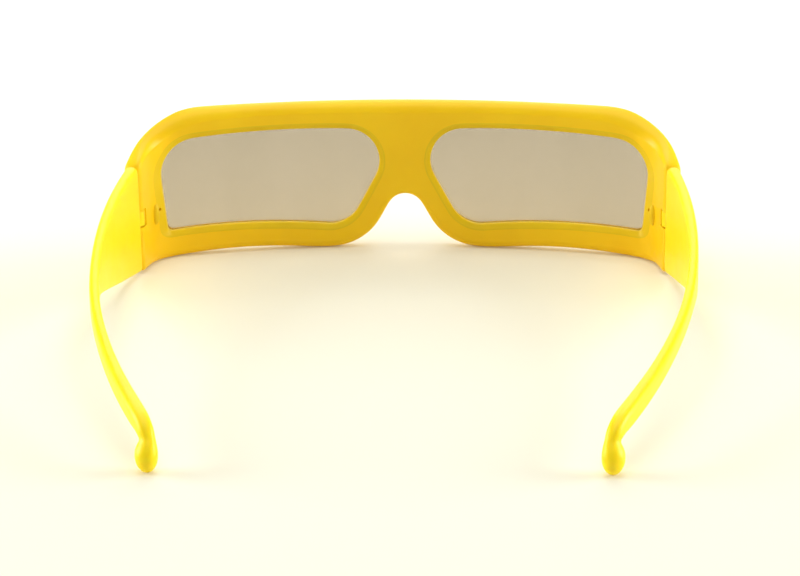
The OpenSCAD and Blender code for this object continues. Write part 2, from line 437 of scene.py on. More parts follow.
# Sizes that the pieces share


@dataclass
class WrapPlan:
    """Plan of the wrapped front and the bowed temples, as the CAD model has it, and the visual hinge slot."""

    front_radius: float = 216 * MM
    wall: float = 4.4 * MM
    corner_radius: float = 10 * MM
    brow_radius: float = 16 * MM
    brow_fall: float = math.radians(26)
    brow_start: float = 12.5 * MM
    temple_radius: float = 190 * MM
    outer_step: float = 0.8 * MM
    bow_setback: float = 59.4 * MM
    hinge_setback: float = 23.9 * MM
    knuckle_radius: float = 2.1 * MM
    pin_radius: float = 0.8 * MM
    slot_low: float = 12.6 * MM
    slot_height: float = 4.6 * MM
    hinge_gap: float = 0.3 * MM

    def __post_init__(self) -> None:
        """Works out centres, headings and distances along the rear face."""
        self.height = CAD_HIGH.z
        self.front_y = CAD_HIGH.y
        self.rear_y = self.front_y - self.wall
        self.side_radius = self.temple_radius + self.outer_step - self.wall
        self.front_centre = Vector((0, self.rear_y - self.front_radius))
        self.side_centre = Vector((CAD_HIGH.x - self.temple_radius, self.front_y - self.bow_setback))
        self.corner_centre = circle_crossing(
            self.front_centre,
            self.front_radius - self.corner_radius,
            self.side_centre,
            self.side_radius - self.corner_radius,
        )
        self.front_heading = heading(self.corner_centre - self.front_centre)
        self.side_heading = heading(self.corner_centre - self.side_centre)
        self.hinge = self.on_side(self.side_radius + self.wall / 2, self.front_y - self.hinge_setback)
        self.hinge_heading = heading(self.hinge - self.side_centre)
        self.front_run = self.front_radius * (math.pi / 2 - self.front_heading)
        self.corner_run = self.front_run + self.corner_radius * (self.front_heading - self.side_heading)
        self.hinge_run = self.corner_run + self.side_radius * (self.side_heading - self.hinge_heading)
        self.end_run = self.hinge_run + self.knuckle_radius

    def on_side(self, radius: float, y: float) -> Vector:
        """Plan point of the side's bow at a radius and a Y."""
        reach = y - self.side_centre.y
        return Vector((self.side_centre.x + math.sqrt(radius**2 - reach**2), y))

    def place(self, run: float, depth: float) -> Vector:
        """Plan point of the front.

        Args:
            run: Distance along the rear face from the middle.
            depth: Distance outside the rear face.

        Returns:
            The point as a plane vector.
        """
        if run <= self.front_run:
            turn = math.pi / 2 - run / self.front_radius
            return self.front_centre + polar(self.front_radius + depth, turn)
        if run <= self.corner_run:
            turn = self.front_heading - (run - self.front_run) / self.corner_radius
            return self.corner_centre + polar(self.corner_radius + depth, turn)
        turn = self.side_heading - (run - self.corner_run) / self.side_radius
        return self.side_centre + polar(self.side_radius + depth, turn)

    def run_at(self, x: float, depth: float) -> float:
        """Distance along the rear face at which a depth's surface has an X.

        Args:
            x: X on the front or on its right corner.
            depth: Distance outside the rear face.

        Returns:
            The distance from the middle.
        """
        radius = self.front_radius + depth
        if x <= radius * math.cos(self.front_heading):
            return self.front_radius * math.asin(x / radius)
        turn = math.acos((x - self.corner_centre.x) / (self.corner_radius + depth))
        return self.front_run + (self.front_heading - turn) * self.corner_radius

    def face_y(self, x: float, depth: float) -> float:
        """Y of the surface at a depth, at an X."""
        return self.place(self.run_at(x, depth), depth).y

    def brow_height(self, run: float, depth: float) -> float:
        """Height of the top edge, which falls over the corner.

        Args:
            run: Distance along the rear face from the middle.
            depth: Distance outside the rear face.

        Returns:
            Height above the floor.
        """
        middle = (self.front_heading + self.side_heading) / 2
        across = Vector((math.sin(middle), -math.cos(middle)))
        along = (self.place(run, depth) - self.corner_centre).dot(across) + self.brow_start
        turned = self.brow_radius * math.sin(self.brow_fall)
        round_part = min(max(along, 0), turned)
        drop = self.brow_radius - math.sqrt(self.brow_radius**2 - round_part**2)
        return self.height - drop - max(along - turned, 0) * math.tan(self.brow_fall)


@dataclass
class NoseNotch:
    """Notch below the bridge and the feet beside it."""

    height: float = 14.8 * MM
    radius: float = 4.7 * MM
    flare: float = math.radians(28)
    foot_radius: float = 15 * MM
    arc_steps: int = 24

    def __post_init__(self) -> None:
        """Works out where the notch's side runs into the foot."""
        self.top_centre = Vector((0, self.height - self.radius))
        rise = self.foot_radius - self.top_centre.y
        reach = self.radius + self.foot_radius - rise * math.sin(self.flare)
        self.foot_x = reach / math.cos(self.flare)
        self.foot_centre = Vector((self.foot_x, self.foot_radius))

    def path(self) -> Loop:
        """Right side of the notch in front view.

        Returns:
            Plane points of X and Z, from the notch's top to the foot.
        """
        top = arc(self.top_centre, self.radius, math.pi / 2, self.flare, self.arc_steps)
        low = math.pi + self.flare, 1.5 * math.pi
        return top + arc(self.foot_centre, self.foot_radius, *low, self.arc_steps)


@dataclass(frozen=True)
class LensCorner:
    """Round corner of the lens opening and the edge that leaves it."""

    x: float
    z: float
    radius: float
    bow: float
    corner_steps: int
    edge_steps: int

    def on_arc(self, grow: float, angle: float) -> Vector:
        """Front-view point on the corner's arc, grown, at a heading in radians."""
        return Vector((self.x, self.z)) + polar(self.radius + grow, angle)


@dataclass
class LensShape:
    """Right lens opening in front view.

    Each pair of steps has a corner's number of stations, and that of the edge that leaves it.
    """

    notch: NoseNotch
    bridge_width: float = 13.2 * MM
    top: float = 32.5 * MM
    nose_radius: float = 8.7 * MM
    cheek_rim: float = 6.6 * MM
    side_inset: float = 10.1 * MM
    temple_radius: float = 9.2 * MM
    brow_drop: float = 0.6 * MM
    brow_bow: float = 0.5 * MM
    low_radius: float = 1.2 * MM
    low_rise: float = 0.8 * MM
    lean: float = 1.1 * MM
    arch: float = 0.9 * MM
    seat_radius: float = 204 * MM
    lip: float = 0.9 * MM
    ring_width: float = 1.4 * MM
    foot_steps: tuple[int, int] = (9, 14)
    low_steps: tuple[int, int] = (4, 6)
    temple_steps: tuple[int, int] = (9, 16)
    nose_steps: tuple[int, int] = (12, 4)

    def __post_init__(self) -> None:
        """Works out the corners in order, from the foot and round below the lens."""
        self.outer_x = CAD_HIGH.x - self.side_inset
        self.centre_y = CAD_HIGH.y - self.lip - self.seat_radius
        low_x = self.outer_x - self.lean - self.low_radius
        low_z = self.cheek_rim + self.low_rise + self.low_radius
        high_z = self.top - self.brow_drop - self.temple_radius
        foot, foot_radius = self.notch.foot_centre, self.notch.foot_radius - self.cheek_rim
        high_x = self.outer_x - self.temple_radius
        nose_x = self.bridge_width / 2 + self.nose_radius
        nose_z = self.top - self.nose_radius
        self.corners = [
            LensCorner(foot.x, foot.y, foot_radius, -self.arch, *self.foot_steps),
            LensCorner(low_x, low_z, self.low_radius, 0, *self.low_steps),
            LensCorner(high_x, high_z, self.temple_radius, self.brow_bow, *self.temple_steps),
            LensCorner(nose_x, nose_z, self.nose_radius, 0, *self.nose_steps),
        ]

    def edge_heading(self, first: LensCorner, second: LensCorner) -> float:
        """Outward heading of the straight edge that touches two corners."""
        across = Vector((second.x - first.x, second.z - first.z))
        return heading(across) - math.acos((first.radius - second.radius) / across.length)

    def outline(self, grow: float) -> Loop:
        """Stations of the opening, grown on all sides.

        Args:
            grow: Distance outside the opening.

        Returns:
            Plane points of X and Z, in the same order for any growth.
        """
        points = []
        for step, corner in enumerate(self.corners):
            after = self.corners[(step + 1) % len(self.corners)]
            start = self.edge_heading(self.corners[step - 1], corner)
            end = self.edge_heading(corner, after)
            while end < start:
                end += 2 * math.pi
            turns = [between(start, end, share) for share in shares(corner.corner_steps)]
            points += [corner.on_arc(grow, turn) for turn in turns]
            leave, reach = corner.on_arc(grow, end), after.on_arc(grow, end)
            for share in shares(corner.edge_steps):
                points.append(leave.lerp(reach, share) + polar(hump(corner.bow, share), end))
        return points

    def layer_y(self, x: float, radius: float) -> float:
        """Y of a lens layer's curved face, at an X."""
        return self.centre_y + math.sqrt(radius**2 - x**2)

    def row(self, grow: float, surface: Surface, shift: float = 0) -> Loop:
        """Loop round the opening, grown, on a surface that is shifted along Y."""
        return on_surface(self.outline(grow), surface, shift)


# Finishes


class Board:
    """Node tree of a material, of the world or of a shared effect."""

    def __init__(self, tree: Tree) -> None:
        """Takes the tree to add nodes to."""
        self.tree = tree

    def fill(self, socket: Socket, value: object) -> None:
        """Links an input socket, or gives it a value.

        Args:
            socket: Input socket.
            value: Socket to link to it, a colour without alpha, or another value.
        """
        if isinstance(value, Socket):
            self.tree.links.new(value, socket)
        else:
            socket.default_value = (*value, 1) if socket.type == "RGBA" else value

    def feed(self, node: Node, inputs: dict[str, object]) -> None:
        """Fills input sockets of a node, by their names or numbers."""
        for name, value in inputs.items():
            self.fill(node.inputs[int(name) if name.isdigit() else name], value)

    def add(self, kind: str, inputs: dict[str, object] | None = None, **settings: object) -> Node:
        """Adds a node.

        Args:
            kind: Blender's name of the node's type.
            inputs: Values of its input sockets, or sockets to link to them, by socket name or number.
            **settings: Values of the node's own properties.

        Returns:
            The node.
        """
        node = self.tree.nodes.new(kind)
        for name, value in settings.items():
            setattr(node, name, value)
        self.feed(node, inputs or {})
        return node

    def where(self, scale: Place | None = None) -> Socket:
        """Place on the piece, scaled where a scale is given."""
        place = self.add("ShaderNodeTexCoord").outputs["Object"]
        return self.add("ShaderNodeMapping", {"Vector": place, "Scale": scale}).outputs[0] if scale else place

    def noise(self, vector: Socket, scale: float, detail: float) -> Socket:
        """Noise at a scale per metre, as a value around one half."""
        node = self.add("ShaderNodeTexNoise", {"Vector": vector, "Scale": scale, "Detail": detail})
        return node.outputs["Fac"]

    def calculate(self, operation: str, *values: Socket | float) -> Socket:
        """Result of a calculation with sockets and numbers."""
        inputs = {str(step): value for step, value in enumerate(values)}
        return self.add("ShaderNodeMath", inputs, operation=operation).outputs[0]

    def ramp(self, value: Socket, source: Pair, target: Pair) -> Socket:
        """Value mapped from one range to another, and held at its ends."""
        names = ("Value", "From Min", "From Max", "To Min", "To Max")
        return self.add("ShaderNodeMapRange", dict(zip(names, (value, *source, *target)))).outputs[0]

    def tint(self, share: Socket, low: Socket | Colour, high: Socket | Colour) -> Socket:
        """Colour between two colours.

        Args:
            share: Share of the second colour.
            low: First colour.
            high: Second colour.

        Returns:
            The mixed colour.
        """
        node = self.add("ShaderNodeMix", {"0": share}, data_type="RGBA")
        colours = [socket for socket in node.inputs if socket.type == "RGBA"]
        for socket, value in zip(colours, (low, high)):
            self.fill(socket, value)
        return next(socket for socket in node.outputs if socket.type == "RGBA")

    def cover(self, share: Socket, first: Node, second: Node) -> None:
        """Puts a mix of two shaders on the material's surface."""
        both = self.add("ShaderNodeMixShader", {"0": share, "1": first.outputs[0], "2": second.outputs[0]})
        self.feed(self.tree.nodes["Material Output"], {"Surface": both.outputs[0]})


def new_material(name: str) -> tuple[Material, Board, Node]:
    """Starts a material.

    Args:
        name: Name of the material.

    Returns:
        The material, its board and its shader's node.
    """
    material = bpy.data.materials.new(name)
    material.use_nodes = True
    board = Board(material.node_tree)
    return material, board, board.tree.nodes["Principled BSDF"]


def shared_effect(name: str, inputs: Sequence[str], outputs: Sequence[str]) -> tuple[Board, dict, Node]:
    """Starts a node group, whose sockets are colours or numbers as their names say.

    Args:
        name: Name of the group.
        inputs: Names of its inputs.
        outputs: Names of its outputs.

    Returns:
        The group's board, its input sockets by name and its output node.
    """
    tree = bpy.data.node_groups.new(name, "ShaderNodeTree")
    for in_out, sockets in (("INPUT", inputs), ("OUTPUT", outputs)):
        for socket in sockets:
            kind = "NodeSocketColor" if socket.endswith("Color") else "NodeSocketFloat"
            tree.interface.new_socket(name=socket, in_out=in_out, socket_type=kind)
    board = Board(tree)
    return board, board.add("NodeGroupInput").outputs, board.add("NodeGroupOutput")


def moulded_skin() -> Tree:
    """Effect of moulded plastic: clouded colour, uneven gloss and a faint ripple.

    Returns:
        The node group, with outputs Color, Roughness and Height.
    """
    board, given, leave = shared_effect(
        "moulded_skin", ("Color", "Deep Color", "Gloss"), ("Color", "Roughness", "Height")
    )
    where = board.where()
    noise_range = (0.35, 0.7)
    grain_share = 0.06
    cloud = board.ramp(board.noise(where, scale=60, detail=3), noise_range, target=(0, 1))
    smears = board.ramp(board.noise(where, scale=150, detail=2), noise_range, target=(-0.02, 0.03))
    ripple = board.noise(where, scale=120, detail=1)
    grain = board.noise(where, scale=2600, detail=2)
    skin = {
        "Color": board.tint(cloud, given["Color"], given["Deep Color"]),
        "Roughness": board.calculate("ADD", given["Gloss"], smears),
        "Height": board.calculate("MULTIPLY_ADD", grain, grain_share, ripple),
    }
    board.feed(leave, skin)
    return board.tree


def film_tint() -> Tree:
    """Effect of drawn film with painted shade: a tint that varies faintly along the drawing direction, and
    painted shade that deepens it upwards.

    Returns:
        The node group, with outputs Color and Roughness.
    """
    board, given, leave = shared_effect("film_tint", ("Color", "Deep Color"), ("Color", "Roughness"))
    streak_share = 0.3
    streaks = board.noise(board.where(scale=(1, 1, 0.12)), scale=140, detail=3)
    height = board.add("ShaderNodeSeparateXYZ", {"Vector": board.where()}).outputs["Z"]
    # Painted shade: the tint deepens towards the top of each sheet, standing in for less light falling there.
    upper = board.ramp(height, source=(0.008, 0.033), target=(0, 0.7))
    share = board.calculate("MULTIPLY_ADD", streaks, streak_share, upper)
    haze = board.ramp(streaks, source=(0.3, 0.7), target=(0, 0.02))
    board.feed(leave, {"Color": board.tint(share, given["Color"], given["Deep Color"]), "Roughness": haze})
    return board.tree


def drawn_lines() -> Tree:
    """Effect of drawn wire: fine lines along its length.

    Returns:
        The node group, with outputs Color, Roughness and Height.
    """
    board, given, leave = shared_effect(
        "drawn_lines", ("Color", "Deep Color"), ("Color", "Roughness", "Height")
    )
    lines = board.noise(board.where(scale=(1, 1, 0.02)), scale=9000, detail=2)
    rough = board.ramp(lines, source=(0.3, 0.7), target=(0.22, 0.4))
    colour = board.tint(lines, given["Color"], given["Deep Color"])
    board.feed(leave, {"Color": colour, "Roughness": rough, "Height": lines})
    return board.tree


@dataclass(frozen=True)
class Finish:
    """Base of the finishes: a material with one shader that a shared effect feeds."""

    name: str
    colour: Colour
    deep: Colour
    bump_strength: float = 0.25

    def start(self, effect: Tree) -> tuple[Material, Board, Node, Node]:
        """Starts the material with its effect and shader.

        Args:
            effect: Node group that gives Color and Roughness.

        Returns:
            The material, its board, the effect's node and the shader's node.
        """
        material, board, shader = new_material(self.name)
        node = board.add("ShaderNodeGroup", node_tree=effect)
        board.feed(node, {"Color": self.colour, "Deep Color": self.deep})
        board.feed(shader, {"Base Color": node.outputs["Color"], "Roughness": node.outputs["Roughness"]})
        return material, board, node, shader

    def bump(self, board: Board, effect: Node, shader: Node, distance: float) -> None:
        """Feeds the effect's height to the shader's normal, over a distance."""
        inputs = {"Height": effect.outputs["Height"], "Strength": self.bump_strength, "Distance": distance}
        board.feed(shader, {"Normal": board.add("ShaderNodeBump", inputs).outputs["Normal"]})

    def pass_light(self, board: Board, shader: Node, colour: Colour, share: float) -> None:
        """Lets shadow rays through, so that the piece throws a tinted shadow.

        Args:
            board: The material's board.
            shader: The material's shader.
            colour: What one face leaves of the light.
            share: Share of the rays that go through.
        """
        clear = board.add("ShaderNodeBsdfTransparent", {"Color": colour})
        path = board.add("ShaderNodeLightPath").outputs["Is Shadow Ray"]
        board.cover(board.calculate("MULTIPLY", path, share), shader, clear)


@dataclass(frozen=True)
class MouldedPlastic(Finish):
    """Glossy moulded plastic that lets a little light through."""

    gloss: float = 0.38
    ior: float = 1.5
    specular: float = 0.24
    glow: float = 0.12
    glow_colour: Colour = (1.0, 0.6, 0.05)
    glow_depth: float = 2.5 * MM
    ripple: float = 0.012 * MM
    shade_colour: Colour = (1.0, 0.78, 0.2)
    shade_share: float = 0.4

    def make(self, effect: Tree) -> Material:
        """Makes the material.

        Args:
            effect: The moulded skin.

        Returns:
            The material.
        """
        material, board, node, shader = self.start(effect)
        look = {
            "IOR": self.ior,
            "Specular IOR Level": self.specular,
            "Subsurface Weight": self.glow,
            "Subsurface Radius": self.glow_colour,
            "Subsurface Scale": self.glow_depth,
        }
        board.feed(node, {"Gloss": self.gloss})
        board.feed(shader, look)
        self.bump(board, node, shader, self.ripple)
        self.pass_light(board, shader, self.shade_colour, self.shade_share)
        return material


@dataclass(frozen=True)
class ClearFilm(Finish):
    """Thin tinted film that light and shadow rays go straight through."""

    ior: float = 1.1

    def make(self, effect: Tree) -> Material:
        """Makes the material.

        Args:
            effect: The film tint with its painted shade.

        Returns:
            The material.
        """
        material, board, _, shader = self.start(effect)
        board.feed(shader, {"IOR": self.ior, "Transmission Weight": 1})
        one_face = tuple(math.sqrt(part) for part in self.colour)
        self.pass_light(board, shader, one_face, 1)
        return material


@dataclass(frozen=True)
class DrawnSteel(Finish):
    """Drawn steel wire."""

    ripple: float = 0.01 * MM

    def make(self, effect: Tree) -> Material:
        """Makes the material.

        Args:
            effect: The drawn lines.

        Returns:
            The material.
        """
        material, board, node, shader = self.start(effect)
        board.feed(shader, {"Metallic": 1})
        self.bump(board, node, shader, self.ripple)
        return material


@dataclass
class Finishes:
    """All materials of the glasses."""

    def __post_init__(self) -> None:
        """Makes the shared effects once and each material from them."""
        skin, tint, lines = moulded_skin(), film_tint(), drawn_lines()
        frame_look = MouldedPlastic("frame_yellow", (0.94, 0.62, 0.005), (0.91, 0.58, 0.004))
        # The temples' copy of the yellow plastic is painted lighter and more lemon than the frame's: painted
        # light for the stronger light on the temples.
        painted_lit_temple_look = MouldedPlastic("temple_yellow", (0.97, 0.75, 0.008), (0.95, 0.72, 0.007), glow=0.4)
        ring_look = MouldedPlastic("retainer_yellow", (0.80, 0.57, 0.008), (0.76, 0.53, 0.006), gloss=0.4)
        carrier_look = ClearFilm("carrier_clear", (0.98, 0.97, 0.95), (0.96, 0.95, 0.92), ior=1.4)
        self.frame = frame_look.make(skin)
        self.temple = painted_lit_temple_look.make(skin)
        self.retainer = ring_look.make(skin)
        # The films' deep colours serve both the drawn streaks and the painted shade towards the top of each
        # sheet.
        self.retarder = ClearFilm("retarder_clear", (0.97, 0.97, 0.94), (0.95, 0.95, 0.91)).make(tint)
        self.polariser = ClearFilm("polariser_tint", (0.545, 0.462, 0.352), (0.43, 0.36, 0.255)).make(tint)
        self.carrier = carrier_look.make(tint)
        self.pin = DrawnSteel("pin_steel", (0.66, 0.66, 0.68), (0.48, 0.48, 0.50)).make(lines)


def dress(piece: Piece, material: Material) -> None:
    """Gives a piece one material."""
    piece.data.materials.clear()
    piece.data.materials.append(material)


# Pieces


@dataclass(frozen=True)
class RimStation:
    """Place on the front frame's edge that belongs to one station of the lens opening."""

    part: RimPart
    run: float
    z: float
    inward: Vector
    rear_round: float
    front_round: float


@dataclass(frozen=True)
class Stretch:
    """Stretch of the front frame's edge, with stations at shares along it.

    The runs, the heights and the pairs of roundings are those at its two ends. The roundings change at a pace
    of 1 over the whole stretch, and sooner at a higher one. A corner is the first station's inward direction.
    """

    part: RimPart
    along: Sequence[float]
    runs: Pair
    inward: Pair
    rounds: tuple[Pair, Pair]
    heights: Pair = (0, 0)
    pace: float = 1
    corner: Pair | None = None

    def stations(self) -> list[RimStation]:
        """Stations of the stretch.

        Returns:
            One station for each share.
        """
        found = []
        for share in self.along:
            inward = self.corner if self.corner and not share else self.inward
            rounds = blended(*self.rounds, min(self.pace * share, 1))
            run, z = between(*self.runs, share), between(*self.heights, share)
            found.append(RimStation(self.part, run, z, Vector(inward), *rounds))
        return found


@dataclass
class FrontFrame:
    """The moulded front: rims, bridge, nose notch, corners and hinge lugs.

    Each pair of roundings has the rear edge's radius and the front edge's. The brow's paces are those of its
    two stretches, and the middle's margins count rear roundings of the top and of the notch.
    """

    plan: WrapPlan
    notch: NoseNotch
    lens: LensShape
    foot_flat: float = 4 * MM
    under_arch: float = 0.9 * MM
    lug_lift: float = 0.7 * MM
    top_round: Pair = (2.4 * MM, 1.1 * MM)
    brow_round: Pair = (3.1 * MM, 1.1 * MM)
    low_round: Pair = (1.8 * MM, 1.2 * MM)
    notch_round: Pair = (1.0 * MM, 0.9 * MM)
    lug_round: Pair = (1.0 * MM, 1.0 * MM)
    brow_paces: Pair = (1.5, 2)
    middle_margins: Pair = (1.4, 2)
    lip_round: float = 0.12 * MM
    rim_round: float = 0.08 * MM
    rim_hold: float = 0.8 * MM
    front_grow: float = 0.5 * MM
    lug_bore_high: float = 26.1 * MM
    lug_fit: float = 0.01 * MM
    slot_front: float = 1.3 * MM
    seat_gap: float = 0.2 * MM
    mirror_merge: float = 0.01 * MM
    lug_count: int = 3
    notch_lead: int = 3
    face_rows: tuple[float, ...] = (0.2, 0.4, 0.6, 0.8)

    def low_edge(self, x: float) -> float:
        """Height of the lower edge, which arches between its level feet.

        Args:
            x: X on the right half.

        Returns:
            Height above the floor.
        """
        start = self.notch.foot_x + self.foot_flat
        end = self.lens.outer_x - self.foot_flat
        share = min(max((x - start) / (end - start), 0), 1)
        return hump(self.under_arch, share)

    def stations(self) -> list[RimStation]:
        """Places on the frame's edge, one for each station of the lens opening.

        Returns:
            The stations in the order of the lens outline: notch, lower edge, lug, brow, top and middle, and
            last the notch's top, which lies beside the end of the lens's nose edge.
        """
        foot = self.lens.corners[0]
        notch = self.notch_stations(foot.corner_steps + self.notch_lead)
        found = notch[self.notch_lead :] + self.low_stations(foot.edge_steps)
        for stretch in self.lug_stretches() + self.top_stretches():
            found += stretch.stations()
        return found + notch[: self.notch_lead]

    def notch_stations(self, count: int) -> list[RimStation]:
        """Stations from the notch's top down to the foot.

        Args:
            count: Number of stations.

        Returns:
            The stations, at even distances.
        """
        path = resampled(self.notch.path(), count)
        found = []
        for step, point in enumerate(path):
            before = path[step - 1] if step else Vector((-path[1].x, path[1].y))
            after = path[step + 1] if step + 1 < count else Vector((self.notch.foot_x, 0))
            along = (after - before).normalized()
            rounds = blended(self.notch_round, self.low_round, (step / count) ** 2)
            run = self.plan.run_at(point.x, 0)
            inward = Vector((-along.y, along.x))
            found.append(RimStation(RimPart.EDGE, run, point.y, inward, *rounds))
        return found

    def low_stations(self, count: int) -> list[RimStation]:
        """Stations along the lower edge, from the foot out to the end of the lens.

        Args:
            count: Number of stations.

        Returns:
            The stations.
        """
        found = []
        for share in shares(count):
            x = between(self.notch.foot_x, self.lens.outer_x, share)
            run, z = self.plan.run_at(x, 0), self.low_edge(x)
            found.append(RimStation(RimPart.EDGE, run, z, Vector((0, 1)), *self.low_round))
        return found

    def lug_stretches(self) -> list[Stretch]:
        """Stretches below the lug and up its end, in two parts of which the first starts at its lower corner.

        Returns:
            The stretches in order.
        """
        _, low, high, _ = self.lens.corners
        end, lug = self.plan.end_run, (self.lug_round, self.lug_round)
        under = (self.plan.run_at(self.lens.outer_x, 0), end)
        lug_top = self.plan.brow_height(end, self.plan.wall / 2)
        part, upright, aside = RimPart.EDGE, (end, end), (-1, 0)
        rounds = (self.low_round, self.lug_round)
        lower, upper = (self.lug_lift, high.z), (high.z, lug_top)
        return [
            Stretch(part, shares(low.corner_steps), under, (0, 1), rounds, (0, self.lug_lift)),
            Stretch(part, shares(low.edge_steps), upright, aside, lug, lower, corner=(-1, 1)),
            Stretch(part, shares(self.lug_count), upright, aside, lug, upper),
        ]

    def top_stretches(self) -> list[Stretch]:
        """Stretches from the lug's upper corner along the top, and down the mirror plane.

        Returns:
            The stretches in order.
        """
        _, _, high, nose = self.lens.corners
        part, down, top = RimPart.BROW, (0, -1), (self.top_round, self.top_round)
        brow_run = self.plan.run_at(high.x + self.lens.temple_radius / 2, 0)
        nose_run = self.plan.run_at(nose.x, 0)
        brow_count = high.corner_steps - self.lug_count
        top_count = nose.corner_steps // 2
        middle_count = nose.corner_steps - top_count + nose.edge_steps - self.notch_lead
        over, under = self.middle_margins
        middle_high = self.plan.height - over * self.top_round[0]
        middle_low = self.notch.height + under * self.notch_round[0]
        middle, none = (middle_high, middle_low), (0, 0)
        rise, level = (self.lug_round, self.brow_round), (self.brow_round, self.top_round)
        first, second = self.brow_paces
        brow = (self.plan.end_run, brow_run)
        return [
            Stretch(part, shares(brow_count), brow, down, rise, pace=first, corner=(-1, -1)),
            Stretch(part, shares(high.edge_steps), (brow_run, nose_run), down, level, pace=second),
            Stretch(part, closed_shares(top_count), (nose_run, 0), down, top),
            Stretch(RimPart.MIDDLE, closed_shares(middle_count), none, none, (none, none), middle),
        ]

    def rim_place(self, station: RimStation, depth: float, inset: float) -> Pair:
        """Place on or inside the frame's edge.

        Args:
            station: Place on the edge.
            depth: Distance outside the rear face.
            inset: Distance inwards from the edge.

        Returns:
            Distance along the rear face, and height.
        """
        run = station.run + station.inward.x * inset
        edge = self.plan.brow_height(run, depth) if station.part is RimPart.BROW else station.z
        return run, edge + station.inward.y * inset

    def rim_point(self, station: RimStation, depth: float, inset: float) -> Vector:
        """Point on or inside the frame's edge, at a depth and an inset."""
        run, z = self.rim_place(station, depth, inset)
        return raised(self.plan.place(run, depth), z)

    def face_row(self, share: float, grow: float, depth: float, insets: Sequence[float]) -> Loop:
        """Loop on the rear or front face, between the opening and the rim.

        Args:
            share: Share of the way from the opening to the rim's rounding.
            grow: Distance outside the opening at which the face starts.
            depth: Depth of the face.
            insets: Rounding of the rim at each station.

        Returns:
            The loop's points.
        """
        points = []
        for place, station, inset in zip(self.lens.outline(grow), self.stations(), insets):
            end, top = self.rim_place(station, depth, inset)
            run = between(self.plan.run_at(place.x, depth), end, share)
            points.append(raised(self.plan.place(run, depth), between(place.y, top, share)))
        return points

    def rows(self) -> list[Loop]:
        """Loops of the right half's skin, from the lens seat round its section and back.

        Returns:
            The loops, of which the last lies on the first.
        """
        row, wall = self.lens.row, self.plan.wall
        width, wide, hold = self.lens.ring_width, self.front_grow, self.rim_hold
        lip, rim = self.lip_round, self.rim_round
        seat = partial(self.lens.layer_y, radius=self.lens.seat_radius)
        rear, front = partial(self.plan.face_y, depth=0), partial(self.plan.face_y, depth=wall)
        stations = self.stations()
        rear_rounds = [station.rear_round for station in stations]
        front_rounds = [station.front_round for station in stations]
        loops = [row(width, seat, -lip), row(width, rear, rim)]
        loops += [row(width + rim, rear), row(width + hold, rear)]
        loops += [self.face_row(share, width + hold, 0, rear_rounds) for share in self.face_rows]
        rounding = ((0, 1), (CORNER_CUT, CORNER_CUT), (1, 0))
        for depth, inset in rounding:
            loops.append([self.rim_point(s, depth * s.rear_round, inset * s.rear_round) for s in stations])
        for depth, inset in reversed(rounding):
            loops.append(
                [self.rim_point(s, wall - depth * s.front_round, inset * s.front_round) for s in stations]
            )
        loops += [self.face_row(share, wide + hold, wall, front_rounds) for share in reversed(self.face_rows)]
        loops += [row(wide + hold, front), row(wide + rim, front), row(wide, front, -rim)]
        loops += [row(wide, seat, lip), row(wide + lip, seat), row(width - lip, seat)]
        return loops + loops[:1]

    def hinge_tools(self, side: Side) -> list[Piece]:
        """Solids that cut one lug: the knuckle's slot with its round seat, and the pin's hole.

        Args:
            side: Side of the lug.

        Returns:
            The cutting solids.
        """
        plan = self.plan
        reach, front = 2 * plan.wall, self.slot_front
        low, high = plan.slot_low, plan.slot_low + plan.slot_height
        middle = plan.hinge + polar((front - reach) / 2, plan.hinge_heading + math.pi / 2)
        centre = Vector((side.sign * middle.x, middle.y, (low + high) / 2))
        size = Vector((reach, reach + front, high - low))
        hinge = Vector((side.sign * plan.hinge.x, plan.hinge.y))
        slot = turned_block(size, centre, side.sign * plan.hinge_heading)
        combine(slot, upright_rod(plan.knuckle_radius + self.seat_gap, low, high, hinge), "UNION")
        return [slot, upright_rod(plan.pin_radius + self.lug_fit, -OVERRUN, self.lug_bore_high, hinge)]

    def build(self) -> Piece:
        """Models the front.

        Returns:
            The finished piece.
        """
        model = LoopModel("front_moulding", self.rows())
        model.delete_flat(lambda place: abs(place.x) < MERGE_DISTANCE)
        piece = model.finish()
        across = {"use_axis": (True, False, False), "use_clip": True, "merge_threshold": self.mirror_merge}
        apply_modifier(piece, "MIRROR", **across)
        subdivide(piece, 2)
        for side in Side:
            for tool in self.hinge_tools(side):
                combine(piece, tool, "DIFFERENCE")
        weld(piece)
        smooth(piece)
        return piece


